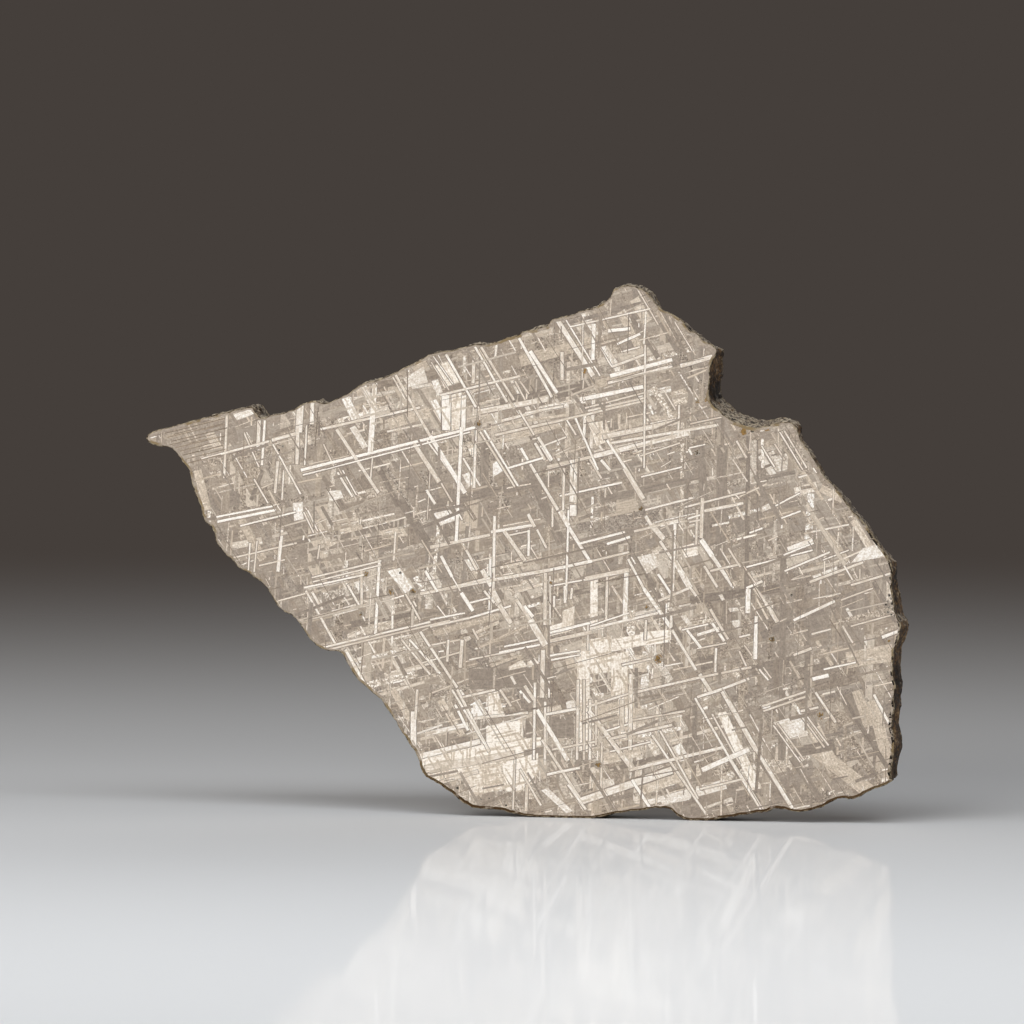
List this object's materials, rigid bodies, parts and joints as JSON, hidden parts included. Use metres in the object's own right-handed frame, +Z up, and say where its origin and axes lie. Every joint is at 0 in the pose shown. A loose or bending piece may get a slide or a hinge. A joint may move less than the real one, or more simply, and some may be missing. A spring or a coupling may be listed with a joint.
{
  "type": "iron meteorite slice",
  "caption": "Thin sawn slab of iron meteorite with a pointed horn, a bitten corner and its own weathered edge, etched faces, standing on its edge.",
  "frame": {"origin": "middle of the box at its base, on the surface that the slab stands on", "axes": "+X along the slab's length, the horn at -X; +Y from the etched show face to the back face, through the thickness; +Z up"},
  "size_m": [0.0778, 0.0044, 0.0538],
  "materials": {
    "etched_iron": "polished and acid-etched faces with crossing crystal bands, dark weathered crust on the edge"
  },
  "bodies": {
    "root": {"meteorite_slice": "etched_iron"}
  },
  "joints": []
}
